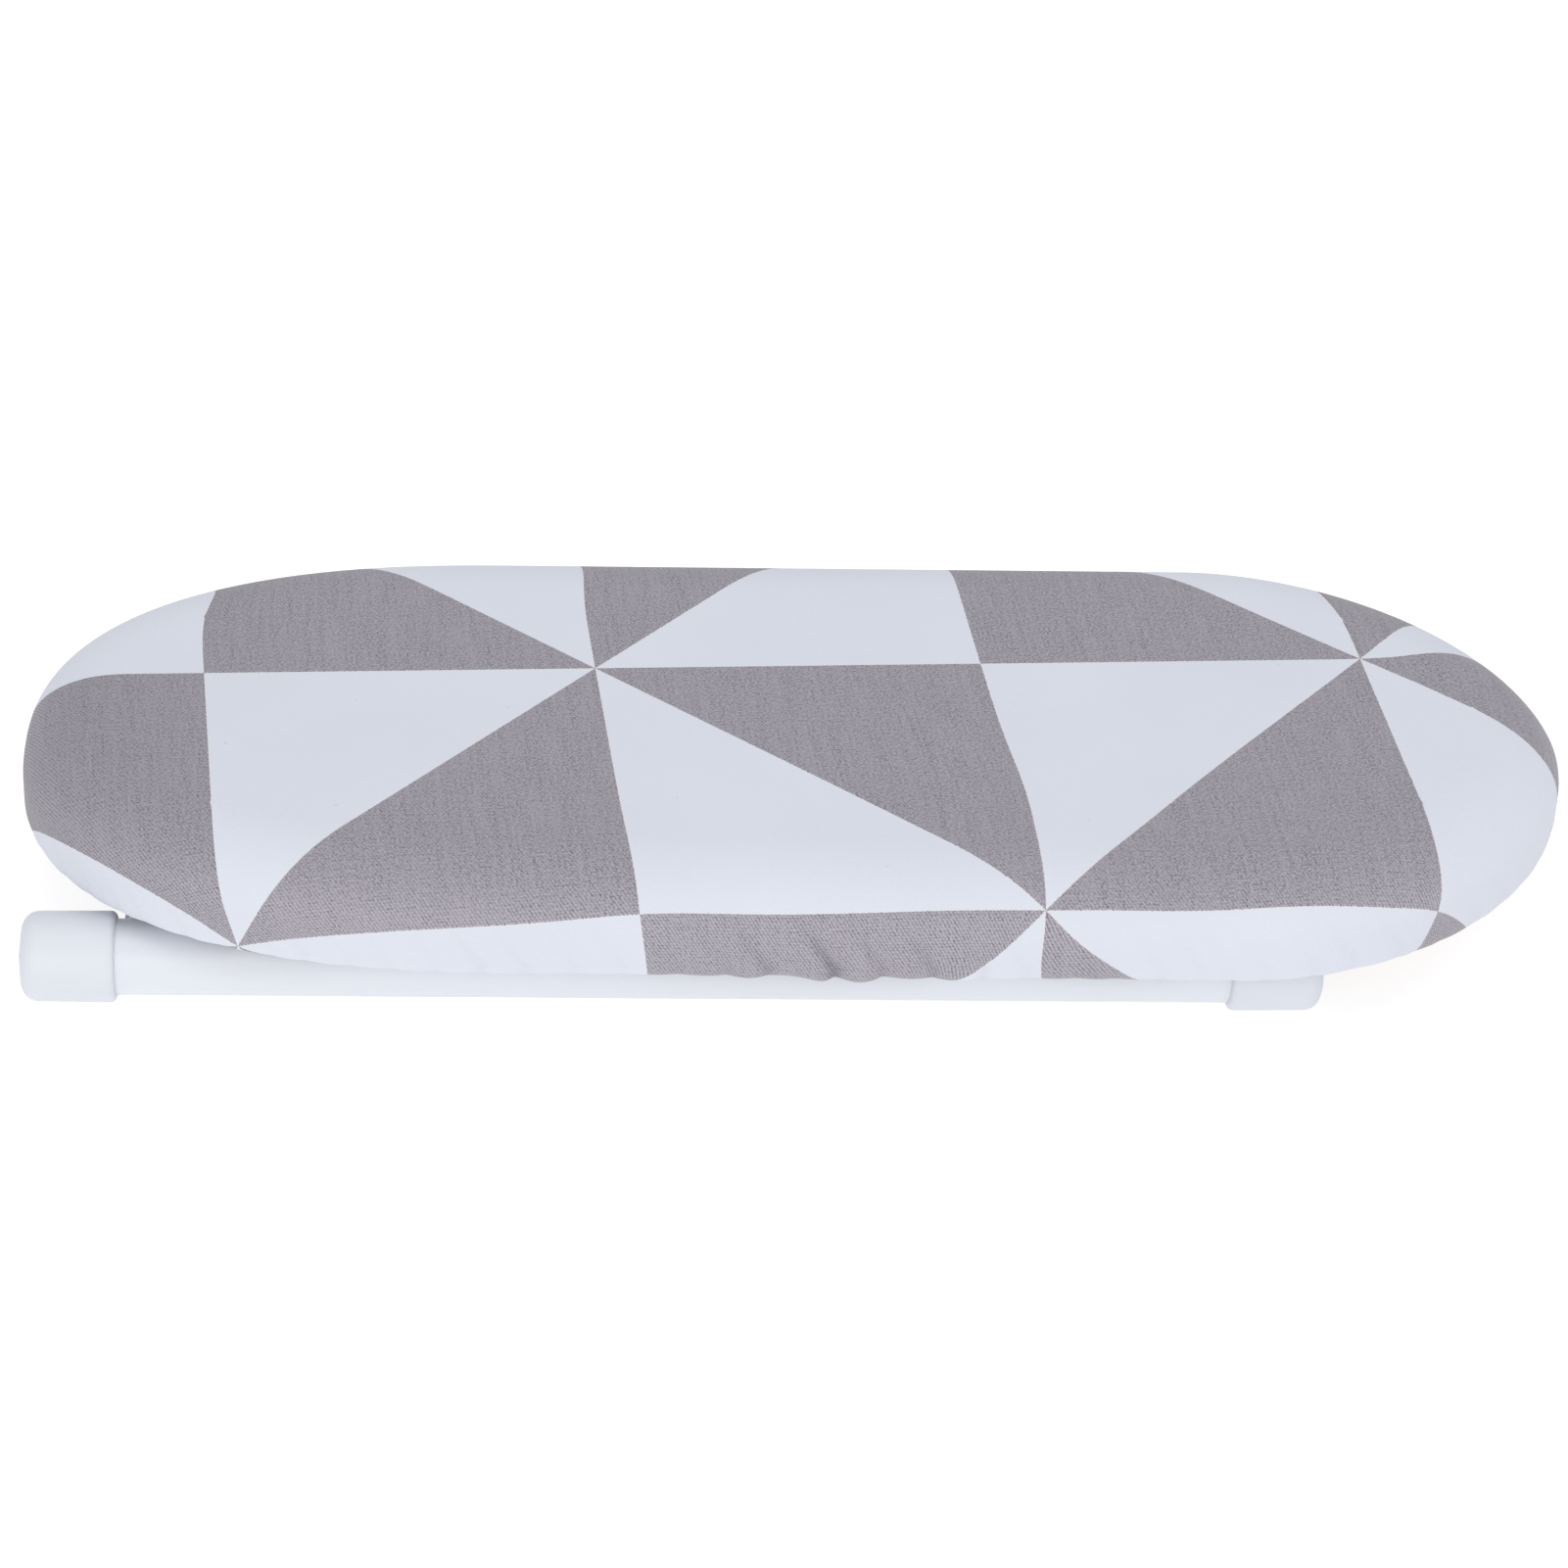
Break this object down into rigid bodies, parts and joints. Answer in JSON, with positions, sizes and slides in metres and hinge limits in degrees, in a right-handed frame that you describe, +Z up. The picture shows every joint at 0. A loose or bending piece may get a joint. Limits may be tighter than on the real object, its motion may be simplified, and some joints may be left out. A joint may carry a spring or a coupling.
{
  "type": "tabletop ironing board",
  "caption": "Padded tabletop ironing board with a printed cotton cover on a folding tubular skid stand.",
  "frame": {"origin": "on the table, under the middle of the covered board, with the stand folded flat", "axes": "+X along the board from the narrow nose end to the broad heel end, +Y to the back, +Z up"},
  "size_m": [0.5198, 0.2148, 0.0665],
  "materials": {
    "powder_coat": "semi-gloss white powder coat",
    "cap_plastic": "satin white moulded plastic",
    "plated_steel": "bright zinc plate",
    "nylon": "natural nylon",
    "knob_plastic": "satin white moulded plastic",
    "rubber": "matt",
    "brass": "machined",
    "plywood": "bare sanded birch",
    "sponge": "open-cell sponge",
    "printed_cotton": "printed cotton twill, grey and white triangles",
    "white_cotton": "white cotton twill",
    "elastic": "flat braided elastic"
  },
  "bodies": {
    "base": {"front_skid_tube": "powder_coat", "rear_skid_tube": "powder_coat", "foot_cap_nose_front": "cap_plastic", "foot_cap_nose_rear": "cap_plastic", "foot_cap_heel_front": "cap_plastic", "foot_cap_heel_rear": "cap_plastic", "nose_axle": "plated_steel", "heel_axle": "plated_steel", "base_cross_tube": "powder_coat", "axle_spacers": "nylon"},
    "nose_leg": {"nose_leg_tube_front": "powder_coat", "nose_leg_tube_rear": "powder_coat", "nose_leg_brace": "powder_coat", "nose_leg_hubs": "powder_coat"},
    "heel_leg": {"heel_leg_tube_front": "powder_coat", "heel_leg_tube_rear": "powder_coat", "heel_leg_brace": "powder_coat", "heel_leg_hubs": "powder_coat", "stay_rivet": "plated_steel"},
    "stay": {"stay_bar": "plated_steel", "clamp_stud": "plated_steel", "clamp_washers": "nylon"},
    "knob": {"lock_knob": "knob_plastic", "knob_insert": "brass"},
    "board": {"board_core": "plywood", "sponge_pad": "sponge", "cover": "printed_cotton", "hem_band": "white_cotton", "hem_elastic": "elastic", "rest_bumpers": "rubber", "nose_saddle_bracket": "powder_coat", "heel_saddle_bracket": "powder_coat", "bracket_screws": "plated_steel", "nose_hinge_rod": "plated_steel", "heel_hinge_rod": "plated_steel", "rod_caps": "plated_steel"}
  },
  "joints": [
    {"name": "leg_fold", "type": "hinge", "parent": "base", "child": "heel_leg", "pos_m": [-0.043, 0, 0.0145], "axis": [0, -1, 0], "range_deg": [0, 60]},
    {"name": "nose_leg_fold", "type": "hinge", "parent": "base", "child": "nose_leg", "pos_m": [-0.215, 0, 0.0145], "axis": [0, -1, 0], "range_deg": [0, 60]},
    {"name": "board_hinge", "type": "hinge", "parent": "nose_leg", "child": "board", "pos_m": [-0.065, 0, 0.0145], "axis": [0, -1, 0], "range_deg": [-60, 0]},
    {"name": "stay_hinge", "type": "hinge", "parent": "heel_leg", "child": "stay", "pos_m": [0.017, 0, 0.0145], "axis": [0, -1, 0], "range_deg": [-120, 0]},
    {"name": "knob_turn", "type": "hinge", "parent": "stay", "child": "knob", "pos_m": [0.077, 0.092, 0.0145], "axis": [0, 1, 0], "range_deg": [0, 180]}
  ],
  "couplings": [
    {"joint": "nose_leg_fold", "follows": "leg_fold", "ratio": 1},
    {"joint": "board_hinge", "follows": "leg_fold", "ratio": -1},
    {"joint": "stay_hinge", "follows": "leg_fold", "ratio": -2}
  ]
}
